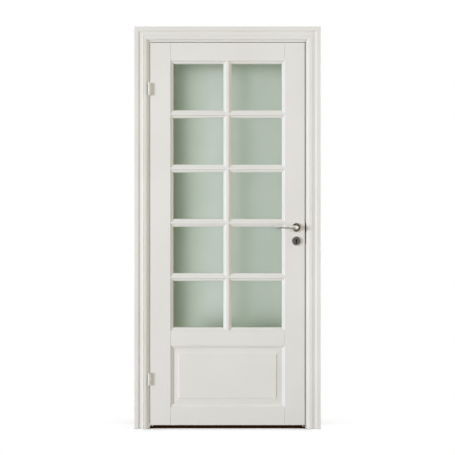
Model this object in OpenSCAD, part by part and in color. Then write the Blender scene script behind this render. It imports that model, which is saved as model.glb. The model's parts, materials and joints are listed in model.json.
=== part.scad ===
// Glazed interior door set: a moulded leaf with ten frosted panes, hung in a rebated frame with casings.
// The front is -Y and up is +Z. The origin is on the floor, midway along the leaf's width and thickness.

/* [Leaf] */
// Width of the leaf
leaf_w = 825; // [725:10:925]
// Height of the leaf
leaf_h = 2040; // [2000:10:2140]
// Thickness of the leaf
leaf_t = 40; // [40:1:44]
// Face width of a stile, without its moulding
stile_w = 108; // [104:1:125]
// Face width of the top rail
top_rail_w = 97; // [80:1:120]
// Face width of the middle rail
middle_rail_w = 83; // [70:1:110]
// Face width of the bottom rail
bottom_rail_w = 97; // [80:1:120]
// Visible height of one pane
pane_h = 248; // [225:1:255]
// Flat width of a level glazing bar between its two mouldings
bar_core_w = 12; // [10:1:16]
// Flat width of the upright glazing bar between its two mouldings
upright_core_w = 15; // [10:1:18]
// Chamfer along the edges of stiles, rails and bars
arris = 1; // [0.6:0.1:1.2]

/* [Moulding] */
// Width of the ogee moulding round each opening
moulding_w = 15; // [14.5:0.5:17]
// Radius of the moulding's hollow
cove_r = 6; // [5:0.5:6]
// Radius of the moulding's round
ovolo_r = 6.5; // [5.5:0.5:6.5]

/* [Panes and panel] */
// Thickness of the glass
glass_t = 4; // [3:1:6]
// Width of the sunk margin round the raised field of the panel
margin_w = 26; // [20:1:40]
// Depth of the raised field below the leaf's face
field_d = 8; // [6:0.5:10]

/* [Frame] */
// Thickness of a jamb at its rebate
jamb_t = 29.5; // [26:0.5:36]
// Height of the stop that the leaf closes against
stop_h = 12; // [11:1:15]
// Depth of the frame through the wall
frame_d = 92; // [88:1:130]
// Gap between leaf and jambs
side_gap = 3; // [2.5:0.1:4]
// Gap between leaf and floor
floor_gap = 17.5; // [8:0.5:20]

/* [Casing] */
// Width of a casing
casing_w = 70; // [70:1:95]
// Thickness of a casing at its outer band
casing_t = 15; // [14.5:0.5:18]
// Width of jamb left showing beside a casing
reveal = 10; // [8:1:14]

/* [Hinges] */
// Height of a hinge
hinge_h = 64; // [60:1:90]
// Distance of a hinge's middle from the end of the leaf
hinge_inset = 247.5; // [180:0.5:260]
// Radius of the knuckles
knuckle_r = 6.5; // [6:0.5:8]
// Distance of the hinge axis in front of the leaf's face
hinge_reach = 12.5; // [10:0.5:16]

/* [Handle and lock] */
// Distance of the spindle from the leaf's edge
backset = 46; // [45:0.5:52]
// Height of the spindle above the floor
handle_z = 1072; // [1000:1:1100]
// Distance of the keyhole below the spindle
key_drop = 72; // [72:1:78]
// Diameter of the rosettes
rosette_d = 50; // [48:1:56]
// Length of a lever from the spindle to its tip
lever_l = 114; // [100:1:140]
// Distance that a lever stands out from the leaf's face
lever_reach = 67; // [55:1:75]

/* [Hidden] */

$fn = 64;

paint = [0.90, 0.90, 0.88];
frosted = [0.72, 0.77, 0.72, 0.8];
nickel = [0.72, 0.70, 0.66];
zinc = [0.82, 0.83, 0.84];
rubber = [0.80, 0.79, 0.75];
beech = [0.78, 0.62, 0.42];

// Play between pieces that are fixed together, and between pieces that move
snug = 0.05;
loose = 0.3;
over = 1;

// Leaf outline
rows = 5;
sides = [-1, 1];
front_y = -leaf_t / 2;
leaf_z0 = floor_gap;
leaf_z1 = leaf_z0 + leaf_h;
edge_x = leaf_w / 2;
face_x = edge_x - stile_w;
sight_x = face_x - moulding_w;
quirk_d = 1.5;
lip_d = 1;
joint_d = 3;
moulding_d = quirk_d + cove_r + ovolo_r + lip_d;

// Openings are [middle x, middle z, width, height] of what shows inside the moulding
bar_w = bar_core_w + 2 * moulding_w;
upright_w = upright_core_w + 2 * moulding_w;
pane_w = sight_x - upright_w / 2;
glass_z1 = leaf_z1 - top_rail_w - moulding_w;
glass_z0 = glass_z1 - rows * pane_h - (rows - 1) * bar_w;
middle_rail_z1 = glass_z0 - moulding_w;
panel_z1 = middle_rail_z1 - middle_rail_w - moulding_w;
panel_z0 = leaf_z0 + bottom_rail_w + moulding_w;
panel_opening = [0, (panel_z0 + panel_z1) / 2, 2 * sight_x, panel_z1 - panel_z0];
function row_z1(row) = glass_z1 - (row - 1) * (pane_h + bar_w);
function pane_opening(row, side) = [
    side * (pane_w + upright_w) / 2, row_z1(row) - pane_h / 2, pane_w, pane_h
];
function bar_z(row) = row_z1(row) - pane_h - bar_w / 2;

// Edges of an opening, as the turn about Y that brings its lower edge there
LOWER = 0;
LEFT = 90;
UPPER = 180;
RIGHT = 270;

// Rear glazing beads and panel
bead_d = leaf_t - moulding_d - glass_t;
expansion_gap = 2;
groove_w = leaf_t - 2 * moulding_d;
tongue_play = 0.4;
tongue_t = groove_w - tongue_play;
margin_rise = 2.5;

// Dowels, two to a joint
dowel_r = 6;
dowel_l = 80;
dowel_dz = 20;
dowel_room = 1;

// Frame
frame_z1 = leaf_z1 + side_gap + jamb_t;
rebate_x = edge_x + side_gap;
rebate_z = leaf_z1 + side_gap;
outer_x = rebate_x + jamb_t;
seal_gap = 3;
stop_y = leaf_t / 2 + seal_gap;
frame_y1 = front_y + frame_d;
kerf_w = 3;
kerf_d = 6;
kerf_inset = 5;
seal_w = 9;
seal_play = 0.4;

// Casings
casing_x = rebate_x + reveal;
casing_z = rebate_z + reveal;
casing_edge_t = 5;
crown_w = 14;
crown_t = casing_t - 3;
crown_flat_w = 6;
step_w = 1.5;
hollow_t = casing_t - 1;
valley_w = 3;
valley_t = casing_t - 6;
round_w = 10;
band_w = 17;

// Fixing sleeves in the jambs
sleeve_zs = [180, 900, 1890];
sleeve_r = 8;
sleeve_bore_r = 4.5;
sleeve_head_r = 6.5;
sleeve_head_d = 7;

// Hinges
hinge_offset = 1;
hinge_x = -rebate_x - hinge_offset;
hinge_y = front_y - hinge_reach;
hinge_zs = [leaf_z0 + hinge_inset, leaf_z1 - hinge_inset];
flap_t = 2.5;
flap_d = 30;
frame_knuckle_h = 17;
leaf_knuckle_h = hinge_h - 2 * frame_knuckle_h;
knuckle_gap = 1;
pin_r = 3.5;
pin_press = 0.02;
button_r = knuckle_r - 1.2;
button_h = 1.6;
flap_screw_inset = 18;
flap_screw_y = front_y + flap_screw_inset;
flap_screw_dz = 21;

// Countersunk wood screws
screw_head_r = 3.8;
screw_head_h = 2;
screw_r = 2;
screw_l = 25;

// Lock, measured from the spindle
spindle_x = edge_x - backset;
key_z = handle_z - key_drop;
forend_t = 3;
forend_w = 20;
forend_below_key = 40;
forend_above_handle = 58;
forend_z0 = key_z - forend_below_key;
forend_z1 = handle_z + forend_above_handle;
case_behind_spindle = 32;
case_below_key = 25;
case_above_handle = 40;
case_x0 = spindle_x - case_behind_spindle;
case_x1 = edge_x - forend_t;
case_z0 = key_z - case_below_key;
case_z1 = handle_z + case_above_handle;
case_t = 14;
sheet_t = 1.2;
pocket_gap = 0.5;
plate_screw_inset = 9;
forend_screw_zs = [forend_z0 + plate_screw_inset, forend_z1 - plate_screw_inset];
follower_r = 10;
follower_hub_r = 9;
arm_l = 15;
arm_tip_r = 2.5;
spindle_w = 8;
latch_z0 = handle_z + follower_r;
latch_h = 20;
latch_t = case_t - 2 * sheet_t - 2 * loose;
latch_out = 11.5;
latch_nose = 1;
latch_head_x = spindle_x + 19;
latch_arm_gap = 0.4;
latch_lug_x = spindle_x - arm_tip_r - latch_arm_gap;
latch_lug_w = 5.5;
latch_lug_lift = 0.6;
latch_tail_t = 4;
latch_tail_inset = 2;
bolt_above_key = 5;
bolt_z0 = key_z + bolt_above_key;
bolt_h = 25;
bolt_t = 9;
bolt_sunk = 0.5;
bolt_head_x = spindle_x + 8;
bolt_tail_t = 4;
bolt_tail_h = 16;
bolt_tail_drop = 7;
bolt_stump_x = spindle_x - 8.5;
bolt_stump_r = 3;
bolt_throw = 13;
key_notch_x = spindle_x + 2;
key_notch_r = 4;
spring_r = 3.2;
spring_wire_r = 0.45;
spring_turns = 7;
strike_t = 2;
strike_below_key = 16;
strike_above_handle = 50;
strike_z0 = key_z - strike_below_key;
strike_z1 = handle_z + strike_above_handle;
strike_margin = 0.5;
strike_y0 = front_y + strike_margin;
strike_y1 = 12;
strike_room = 2;
strike_pocket_d = 16;
strike_screw_zs = [strike_z0 + plate_screw_inset, strike_z1 - plate_screw_inset];

// Handle
rosette_h = 9;
rosette_edge_r = 2.5;
rosette_wall = 1.5;
base_inset = 2.5;
base_r = rosette_d / 2 - base_inset;
base_h = 4;
base_screw_dx = 19;
base_screw_r = 2;
base_screw_head_r = 3.4;
base_screw_head_h = 2;
lever_r = 10;
lever_grip_r = 7;
lever_tip_r = 6.5;
bend_r = 14;
neck_l = lever_reach - lever_r - bend_r;
neck_start = 2;
shoulder_l = 28;
grip_l = lever_l - bend_r - shoulder_l - lever_tip_r;
spindle_depth = 30;
grub_r = 2.5;
grub_l = 6;
grub_y = 16;
keyhole_r = 4.2;
keyhole_slot_w = 5;
keyhole_l = 20;

// Room that holes drilled in the leaf and in the lock leave round what passes through
neck_room = 2;
key_room = 1;
wood_screw_room = 0.5;
case_screw_room = 0.4;

// Puts a shape drawn with +Y inwards on the leaf's front, and its mirror image on the rear
module on_both_faces() {
    children();
    mirror([0, 1, 0]) children();
}

// Section through a board of the leaf's thickness, its four arrises cut back by a given depth
module eased_section(w, depth) {
    x = w / 2;
    y = leaf_t / 2;
    polygon([
        [-x + arris, -y], [x - arris, -y], [x, -y + depth], [x, y - depth],
        [x - arris, y], [-x + arris, y], [-x, y - depth], [-x, -y + depth]
    ]);
}

// Board of the leaf's thickness between two corners in X and Z, with its front and rear edges eased
module eased_board(x0, x1, z0, z1, end_depth = arris) {
    w = x1 - x0;
    h = z1 - z0;
    translate([(x0 + x1) / 2, 0, (z0 + z1) / 2])
        intersection() {
            linear_extrude(h, center = true) eased_section(w, end_depth);
            rotate([0, 90, 0]) linear_extrude(w, center = true) eased_section(h, arris);
        }
}

// Section of the ogee: X runs from the face edge into the opening, Y runs down from the face
module moulding_profile(depth) {
    difference() {
        translate([0, quirk_d]) square([cove_r, depth - quirk_d]);
        translate([cove_r, quirk_d]) circle(cove_r);
    }
    intersection() {
        translate([cove_r, quirk_d + cove_r]) square([ovolo_r, ovolo_r]);
        translate([cove_r, quirk_d + cove_r + ovolo_r]) circle(ovolo_r);
    }
    translate([cove_r, quirk_d + cove_r + ovolo_r])
        square([moulding_w - cove_r, depth - quirk_d - cove_r - ovolo_r]);
}

// Length of moulding along X with mitred ends, its face edge on the X axis and the opening above it
module moulding_stick(length, depth) {
    intersection() {
        rotate([0, -90, 0])
            linear_extrude(length + 4 * moulding_w, center = true) moulding_profile(depth);
        translate([0, depth + over, 0]) rotate([90, 0, 0])
            linear_extrude(depth + 2 * over)
                polygon([
                    [-length / 2 - moulding_w - over, -over], [length / 2 + moulding_w + over, -over],
                    [length / 2 - over, moulding_w + over], [-length / 2 + over, moulding_w + over]
                ]);
    }
}

// Moulding on one edge of an opening, on the front face
module edge_moulding(opening, edge, depth = moulding_d) {
    upright = edge == LEFT || edge == RIGHT;
    translate([opening[0], front_y, opening[1]])
        rotate([0, edge, 0])
            translate([0, 0, -(upright ? opening[2] : opening[3]) / 2 - moulding_w])
                moulding_stick(upright ? opening[3] : opening[2], depth);
}

// Dowels between rails and stiles, or the holes for them
module dowels(r, length) {
    rail_zs = [
        leaf_z0 + bottom_rail_w / 2, middle_rail_z1 - middle_rail_w / 2, leaf_z1 - top_rail_w / 2
    ];
    for (side = sides, z = rail_zs, dz = [-dowel_dz, dowel_dz])
        translate([side * face_x, 0, z + dz])
            rotate([0, 90, 0]) cylinder(r = r, h = length, center = true);
}

module dowel_holes() {
    dowels(dowel_r + snug, dowel_l + dowel_room);
}

// Countersunk screw along +Z from its head, or the hole for it when play is given
module wood_screw(play = 0) {
    cylinder(r1 = screw_head_r + play, r2 = screw_r + play, h = screw_head_h);
    cylinder(r = screw_r + play, h = screw_l + play);
}

// Screws of the hinge parts: side -1 goes into the frame, side 1 into the leaf
module hinge_screws(side, play = 0) {
    x = side < 0 ? -rebate_x : -edge_x;
    for (z = hinge_zs, dz = [-flap_screw_dz, flap_screw_dz])
        translate([x, flap_screw_y, z + dz]) rotate([0, 90 * side, 0]) wood_screw(play);
}

module strike_screws(play = 0) {
    for (z = strike_screw_zs)
        translate([rebate_x, 0, z]) rotate([0, 90, 0]) wood_screw(play);
}

module forend_screws(play = 0) {
    for (z = forend_screw_zs)
        translate([edge_x, 0, z]) rotate([0, -90, 0]) wood_screw(play);
}

// Hinge flap let into the edge of a jamb or of the leaf, with its outer face on x
module hinge_flap(x, side, z) {
    translate([side < 0 ? x - flap_t : x, front_y, z - hinge_h / 2])
        cube([flap_t, flap_d, hinge_h]);
}

module hinge_mortises(side) {
    for (z = hinge_zs)
        hinge_flap(side < 0 ? -rebate_x : -edge_x, side, z);
}

// Sleeve places on both jambs, with +Z into the wall
module at_sleeves(side) {
    for (z = sleeve_zs)
        translate([side * rebate_x, 0, z]) rotate([0, 90 * side, 0]) children();
}

// Groove for the seal, cut into the stops of jambs and head
module seal_kerf() {
    x = rebate_x - kerf_inset;
    z = rebate_z - kerf_inset;
    for (side = sides)
        translate([side * x - kerf_w / 2, stop_y - over, -over])
            cube([kerf_w, kerf_d + over, z + kerf_w / 2 + over]);
    translate([-x - kerf_w / 2, stop_y - over, z - kerf_w / 2])
        cube([2 * x + kerf_w, kerf_d + over, kerf_w]);
}

// Section of a jamb: X runs from the wall side to the stop, Y through the wall
module jamb_section() {
    difference() {
        union() {
            translate([0, front_y]) square([jamb_t, frame_d]);
            translate([0, stop_y]) square([jamb_t + stop_h, frame_y1 - stop_y]);
        }
        translate([jamb_t, front_y]) rotate(45) square(2 * arris, center = true);
        translate([jamb_t + stop_h, stop_y]) rotate(45) square(2 * arris, center = true);
        translate([jamb_t + stop_h, frame_y1]) rotate(45) square(2 * arris, center = true);
    }
}

module side_jamb(side) {
    difference() {
        translate([side * outer_x, 0, 0])
            mirror([side > 0 ? 1 : 0, 0, 0]) linear_extrude(frame_z1) jamb_section();
        seal_kerf();
        at_sleeves(side)
            translate([0, 0, -over]) cylinder(r = sleeve_r + snug, h = jamb_t + 2 * over);
    }
}

module hinge_jamb() color(paint)
    difference() {
        side_jamb(-1);
        hinge_mortises(-1);
        hinge_screws(-1, snug);
    }

module lock_jamb() color(paint)
    difference() {
        side_jamb(1);
        translate([rebate_x - over, strike_y0, strike_z0])
            cube([strike_t + over, strike_y1 - strike_y0, strike_z1 - strike_z0]);
        strike_openings(strike_pocket_d);
        strike_screws(snug);
    }

// The head runs between the jambs, with the ends of its stop cut back to theirs
module head_jamb() color(paint)
    difference() {
        translate([0, 0, frame_z1]) rotate([0, 90, 0])
            linear_extrude(2 * rebate_x, center = true) jamb_section();
        for (side = sides)
            mirror([side < 0 ? 1 : 0, 0, 0])
                translate([rebate_x - stop_h, stop_y, rebate_z - stop_h - over])
                    cube([stop_h + over, frame_d, jamb_t + stop_h + 2 * over]);
        seal_kerf();
    }

// Radius of an arc that leaves a straight line and falls away by drop over a given run
function arc_r(run, drop) = (run * run + drop * drop) / (2 * drop);

// Section of a casing: X runs from its inner edge outwards, Y from the wall outwards.
// A crown, a small step, a hollow down to a valley, a round and a flat band follow each other.
module casing_profile() {
    step_x = crown_w + crown_flat_w;
    hollow_x0 = step_x + step_w;
    band_x = casing_w - band_w;
    hollow_x1 = band_x - round_w - valley_w;
    crown_r = arc_r(crown_w, crown_t - casing_edge_t);
    hollow_r = arc_r(hollow_x1 - hollow_x0, hollow_t - valley_t);
    round_r = arc_r(round_w, casing_t - valley_t);
    intersection() {
        square([crown_w, crown_t]);
        translate([crown_w, crown_t - crown_r]) circle(crown_r);
    }
    difference() {
        translate([hollow_x0, 0]) square([hollow_x1 - hollow_x0, hollow_t]);
        translate([hollow_x1, valley_t + hollow_r]) circle(hollow_r);
    }
    intersection() {
        translate([band_x - round_w, 0]) square([round_w, casing_t]);
        translate([band_x, casing_t - round_r]) circle(round_r);
    }
    polygon([[crown_w, 0], [hollow_x0, 0], [hollow_x0, hollow_t], [step_x, crown_t], [crown_w, crown_t]]);
    translate([hollow_x1, 0]) square([valley_w, valley_t]);
    polygon([
        [band_x, 0], [casing_w, 0], [casing_w, casing_t - arris],
        [casing_w - arris, casing_t], [band_x, casing_t]
    ]);
}

// Upright casing on the front, mitred at its top
module side_casing(side) {
    outer_z = casing_z + casing_w;
    intersection() {
        translate([side * casing_x, front_y, 0])
            mirror([side < 0 ? 1 : 0, 0, 0]) rotate([180, 0, 0]) translate([0, 0, -outer_z])
                linear_extrude(outer_z) casing_profile();
        rotate([90, 0, 0])
            linear_extrude(2 * frame_d, center = true)
                polygon([
                    [side * (casing_x - over), -over], [side * (casing_x + casing_w + over), -over],
                    [side * (casing_x + casing_w + over), outer_z + over],
                    [side * (casing_x - over), casing_z - over]
                ]);
    }
}

// Level casing on the front, mitred at both ends
module head_casing() {
    length = 2 * (casing_x + casing_w);
    intersection() {
        translate([0, front_y, casing_z])
            rotate([90, 0, 90]) rotate(90)
                linear_extrude(length, center = true) casing_profile();
        translate([0, 0, casing_z]) rotate([90, 0, 0])
            linear_extrude(2 * frame_d, center = true)
                polygon([
                    [-casing_x + over, -over], [casing_x - over, -over],
                    [casing_x + casing_w + over, casing_w + over],
                    [-casing_x - casing_w - over, casing_w + over]
                ]);
    }
}

// Carries a casing from the front of the frame to its rear
module to_rear() {
    translate([0, front_y + frame_y1, 0]) mirror([0, 1, 0]) children();
}

module front_casing_left() color(paint) side_casing(-1);
module front_casing_right() color(paint) side_casing(1);
module front_casing_head() color(paint) head_casing();
module rear_casing_left() color(paint) to_rear() side_casing(-1);
module rear_casing_right() color(paint) to_rear() side_casing(1);
module rear_casing_head() color(paint) to_rear() head_casing();

// Section of the seal: a foot in the kerf and a bulb that the leaf presses, Y through the wall
module seal_section() {
    foot_w = kerf_w - seal_play;
    bulb_t = seal_gap - loose;
    translate([-foot_w / 2, 0]) square([foot_w, kerf_d - seal_play]);
    polygon([
        [-seal_w / 2, 0], [-seal_w / 2, -bulb_t / 2], [-seal_w / 4, -bulb_t],
        [seal_w / 4, -bulb_t], [seal_w / 2, -bulb_t / 2], [seal_w / 2, 0]
    ]);
}

// Seal round the frame, mitred at the top corners
module frame_seal() color(rubber) {
    x = rebate_x - kerf_inset;
    z = rebate_z - kerf_inset;
    for (side = sides)
        intersection() {
            translate([side * x, stop_y, 0]) linear_extrude(z + seal_w) seal_section();
            rotate([90, 0, 0])
                linear_extrude(2 * frame_d, center = true)
                    polygon([
                        [side * (x + seal_w), -over], [side * (x + seal_w), z + seal_w],
                        [side * (x - seal_w), z - seal_w], [side * (x - seal_w), -over]
                    ]);
        }
    intersection() {
        translate([0, stop_y, z]) rotate([0, 90, 0])
            linear_extrude(2 * (x + seal_w), center = true) seal_section();
        translate([0, 0, z]) rotate([90, 0, 0])
            linear_extrude(2 * frame_d, center = true)
                polygon([
                    [-x - seal_w, seal_w], [x + seal_w, seal_w],
                    [x - seal_w, -seal_w], [-x + seal_w, -seal_w]
                ]);
    }
}

// Holes of the strike plate for latch and dead bolt, carried on into the jamb
module strike_openings(depth) {
    translate([rebate_x - over, -(latch_t + strike_room) / 2, latch_z0 - strike_room])
        cube([depth + over, latch_t + strike_room, latch_h + 2 * strike_room]);
    translate([rebate_x - over, -(bolt_t + strike_room) / 2, bolt_z0 - strike_room])
        cube([depth + over, bolt_t + strike_room, bolt_h + 2 * strike_room]);
}

module strike_plate() color(nickel)
    difference() {
        translate([rebate_x, strike_y0, strike_z0])
            cube([strike_t, strike_y1 - strike_y0, strike_z1 - strike_z0]);
        strike_openings(strike_t + over);
        strike_screws(snug);
    }

// Fixing sleeves: a bore for the wall screw, with a recess for its head on the door side
module frame_sleeves() color(zinc)
    for (side = sides)
        at_sleeves(side)
            difference() {
                cylinder(r = sleeve_r, h = jamb_t);
                translate([0, 0, -over]) cylinder(r = sleeve_bore_r, h = jamb_t + 2 * over);
                translate([0, 0, -over]) cylinder(r = sleeve_head_r, h = sleeve_head_d + over);
            }

module frame_screws() color(zinc) {
    hinge_screws(-1);
    strike_screws();
}

// Upright cylinder on the hinge axis
module hinge_axis_cylinder(r, z, h) {
    translate([hinge_x, hinge_y, z]) cylinder(r = r, h = h, center = true);
}

// Frame half of a hinge: a flap in the jamb and the two outer knuckles
module hinge_frame_part(z) {
    window_h = leaf_knuckle_h + 2 * knuckle_gap;
    clear_y = hinge_y + knuckle_r + over;
    color(zinc)
        difference() {
            union() {
                hinge_flap(-rebate_x, -1, z);
                translate([-rebate_x - flap_t, hinge_y, z - hinge_h / 2])
                    cube([flap_t, hinge_reach + over, hinge_h]);
                hinge_axis_cylinder(knuckle_r, z, hinge_h);
            }
            translate([hinge_x - 2 * knuckle_r, clear_y - 4 * knuckle_r, z - window_h / 2])
                cube([4 * knuckle_r, 4 * knuckle_r, window_h]);
            hinge_axis_cylinder(pin_r + pin_press, z, hinge_h + 2 * over);
            hinge_screws(-1, snug);
        }
}

// Leaf half of a hinge: a flap in the leaf's edge and the middle knuckle
module hinge_leaf_part(z) {
    color(zinc)
        difference() {
            union() {
                hinge_flap(-edge_x, 1, z);
                translate([-edge_x, hinge_y, z - leaf_knuckle_h / 2])
                    cube([flap_t, hinge_reach + over, leaf_knuckle_h]);
                hinge_axis_cylinder(knuckle_r, z, leaf_knuckle_h);
            }
            hinge_axis_cylinder(pin_r + snug, z, hinge_h);
            hinge_screws(1, snug);
        }
}

module lower_hinge_frame_part() hinge_frame_part(hinge_zs[0]);
module upper_hinge_frame_part() hinge_frame_part(hinge_zs[1]);
module lower_hinge_leaf_part() hinge_leaf_part(hinge_zs[0]);
module upper_hinge_leaf_part() hinge_leaf_part(hinge_zs[1]);

// Pins with a low button on each end
module hinge_pins() color(zinc)
    for (z = hinge_zs) {
        hinge_axis_cylinder(pin_r, z, hinge_h + button_h);
        for (end = sides)
            hinge_axis_cylinder(button_r, z + end * (hinge_h + button_h) / 2, button_h);
    }

// Stile with its edge moulded round every opening it borders
module stile(side) {
    edge = side < 0 ? LEFT : RIGHT;
    eased_board(min(side * face_x, side * edge_x), max(side * face_x, side * edge_x), leaf_z0, leaf_z1);
    for (row = [1:rows])
        edge_moulding(pane_opening(row, side), edge);
    on_both_faces() edge_moulding(panel_opening, edge);
}

module hinge_stile() color(paint)
    difference() {
        stile(-1);
        hinge_mortises(1);
        hinge_screws(1, snug);
        dowel_holes();
    }

// The lock stile is pocketed for the lock case and drilled for handle and key
module lock_stile() color(paint)
    difference() {
        stile(1);
        translate([case_x0 - pocket_gap, -case_t / 2 - pocket_gap, case_z0 - pocket_gap])
            cube([edge_x, case_t + 2 * pocket_gap, case_z1 - case_z0 + 2 * pocket_gap]);
        forend(snug);
        forend_screws(snug);
        handle_hole(lever_r + neck_room);
        keyhole(keyhole_r + key_room);
        base_screw_holes(base_screw_r + wood_screw_room);
        dowel_holes();
    }

// Rail between the stiles, with no moulding of its own, its ends cut back to a fine shadow line
module rail(z0, z1) {
    eased_board(-face_x, face_x, z0, z1, joint_d);
}

module top_rail() color(paint)
    difference() {
        union() {
            rail(leaf_z1 - top_rail_w, leaf_z1);
            for (side = sides)
                edge_moulding(pane_opening(1, side), UPPER);
        }
        dowel_holes();
    }

module middle_rail() color(paint)
    difference() {
        union() {
            rail(middle_rail_z1 - middle_rail_w, middle_rail_z1);
            for (side = sides)
                edge_moulding(pane_opening(rows, side), LOWER);
            on_both_faces() edge_moulding(panel_opening, UPPER);
        }
        dowel_holes();
    }

module bottom_rail() color(paint)
    difference() {
        union() {
            rail(leaf_z0, leaf_z0 + bottom_rail_w);
            on_both_faces() edge_moulding(panel_opening, LOWER);
        }
        dowel_holes();
    }

module rail_dowels() color(beech) dowels(dowel_r, dowel_l);

// Half of the crossing of two bars: side -1 is the front half, 1 the rear half
module lap(row, side) {
    translate([0, side * leaf_t / 2, bar_z(row)])
        cube([upright_core_w, leaf_t, bar_core_w], center = true);
}

// Upright glazing bar, lapped over the level ones at the rear
module upright_bar() color(paint) {
    difference() {
        eased_board(-upright_core_w / 2, upright_core_w / 2, middle_rail_z1, glass_z1 + moulding_w);
        for (row = [1:rows - 1])
            lap(row, -1);
    }
    for (row = [1:rows]) {
        edge_moulding(pane_opening(row, -1), RIGHT);
        edge_moulding(pane_opening(row, 1), LEFT);
    }
}

// Level glazing bar under a row of panes, lapped over the upright one at the front
module level_bar(row) color(paint) {
    difference() {
        rail(bar_z(row) - bar_core_w / 2, bar_z(row) + bar_core_w / 2);
        lap(row, 1);
    }
    for (side = sides) {
        edge_moulding(pane_opening(row, side), LOWER);
        edge_moulding(pane_opening(row + 1, side), UPPER);
    }
}

// Section across the raised panel: a thin tongue, a sloping margin and a field raised on a hollow step
module panel_section(sight, below, above) {
    tongue = tongue_t / 2;
    field = leaf_t / 2 - field_d;
    step_r = field - tongue - margin_rise;
    step_x = sight / 2 - margin_w - step_r;
    hollow = [for (a = [0:15:90]) [step_x + step_r * (1 - sin(a)), field - step_r * cos(a)]];
    right = concat([[sight / 2 + above, tongue], [sight / 2, tongue]], hollow);
    left = [for (i = [len(hollow) - 1:-1:0]) [-hollow[i][0], hollow[i][1]]];
    upper = concat(right, left, [[-sight / 2, tongue], [-sight / 2 - below, tongue]]);
    lower = [for (i = [len(upper) - 1:-1:0]) [upper[i][0], -upper[i][1]]];
    polygon(concat(upper, lower));
}

// Raised panel, loose in the grooves of stiles and rails and standing on the bottom one
module panel() color(paint) {
    tongue_w = moulding_w - expansion_gap;
    translate([0, 0, panel_opening[1]])
        intersection() {
            linear_extrude(2 * panel_opening[3], center = true)
                panel_section(panel_opening[2], tongue_w, tongue_w);
            rotate([0, -90, 0])
                linear_extrude(2 * panel_opening[2], center = true)
                    panel_section(panel_opening[3], moulding_w, tongue_w);
        }
}

// Pane standing on the bar below it, against the back of the front moulding
module pane(row, side) color(frosted) {
    opening = pane_opening(row, side);
    w = opening[2] + 2 * (moulding_w - expansion_gap);
    h = opening[3] + 2 * moulding_w - expansion_gap;
    translate([opening[0] - w / 2, front_y + moulding_d, opening[1] - opening[3] / 2 - moulding_w])
        cube([w, glass_t, h]);
}

// Beads that hold the panes from the rear, moulded like the front
module beads(which_edges) {
    mirror([0, 1, 0])
        for (row = [1:rows], side = sides, edge = which_edges)
            edge_moulding(pane_opening(row, side), edge, bead_d);
}

module upright_beads() color(paint) beads([LEFT, RIGHT]);
module level_beads() color(paint) beads([LOWER, UPPER]);

module leaf_screws() color(zinc) {
    hinge_screws(1);
    forend_screws();
}

// Face plate of the lock, with round ends, flush in the leaf's edge
module forend(play = 0) {
    w = forend_w + 2 * play;
    translate([edge_x - forend_t - play, 0, 0]) rotate([90, 0, 90])
        linear_extrude(forend_t + 2 * play) {
            translate([-w / 2, forend_z0 + forend_w / 2])
                square([w, forend_z1 - forend_z0 - forend_w]);
            for (z = [forend_z0 + forend_w / 2, forend_z1 - forend_w / 2])
                translate([0, z]) circle(w / 2);
        }
}

// Round hole through the leaf on the spindle's axis
module handle_hole(r) {
    translate([spindle_x, 0, handle_z]) rotate([90, 0, 0])
        cylinder(r = r, h = 3 * leaf_t, center = true);
}

// Keyhole through the leaf: a round top and a narrower slot below it
module keyhole(r) {
    slot_w = keyhole_slot_w + 2 * (r - keyhole_r);
    translate([spindle_x, 0, key_z + keyhole_l / 4]) rotate([90, 0, 0])
        linear_extrude(3 * leaf_t, center = true) {
            circle(r);
            translate([-slot_w / 2, -keyhole_l]) square([slot_w, keyhole_l]);
        }
}

module at_base_screws() {
    for (z = [handle_z, key_z], dx = [-base_screw_dx, base_screw_dx])
        translate([spindle_x + dx, 0, z]) rotate([90, 0, 0]) children();
}

module base_screw_holes(r) {
    at_base_screws() cylinder(r = r, h = 3 * leaf_t, center = true);
}

// Holes that lock case and cover share
module lock_holes() {
    handle_hole(follower_hub_r);
    keyhole(keyhole_r);
    base_screw_holes(base_screw_r + case_screw_room);
}

// Lock case: a folded tray welded to the face plate, with the stump that guides the dead bolt
module lock_case() color(zinc) {
    difference() {
        union() {
            forend();
            translate([case_x0, -case_t / 2 + sheet_t, case_z0])
                cube([case_x1 - case_x0, case_t - sheet_t, case_z1 - case_z0]);
        }
        translate([case_x0 + sheet_t, -case_t / 2, case_z0 + sheet_t])
            cube([case_x1 - case_x0 - sheet_t, case_t - sheet_t, case_z1 - case_z0 - 2 * sheet_t]);
        translate([case_x1 - over, -latch_t / 2 - loose, latch_z0 - loose])
            cube([forend_t + 2 * over, latch_t + 2 * loose, latch_h + 2 * loose]);
        translate([case_x1 - over, -bolt_t / 2 - loose, bolt_z0 - loose])
            cube([forend_t + 2 * over, bolt_t + 2 * loose, bolt_h + 2 * loose]);
        forend_screws(snug);
        lock_holes();
    }
    translate([bolt_stump_x, case_t / 2 - sheet_t, bolt_z0 + bolt_h / 2]) rotate([90, 0, 0])
        cylinder(r = bolt_stump_r, h = case_t - 2 * sheet_t);
}

module lock_cover() color(zinc)
    difference() {
        translate([case_x0, -case_t / 2, case_z0])
            cube([case_x1 - case_x0, sheet_t, case_z1 - case_z0]);
        lock_holes();
    }

// Points of a ring of the spring's wire, a given share of the way along the coil
function spring_ring(t, length) = [
    for (a = [0:45:315])
        let (turn = 360 * spring_turns * t, r = spring_r + spring_wire_r * cos(a))
            [length * t + spring_wire_r * sin(a), r * cos(turn), r * sin(turn)]
];

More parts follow.
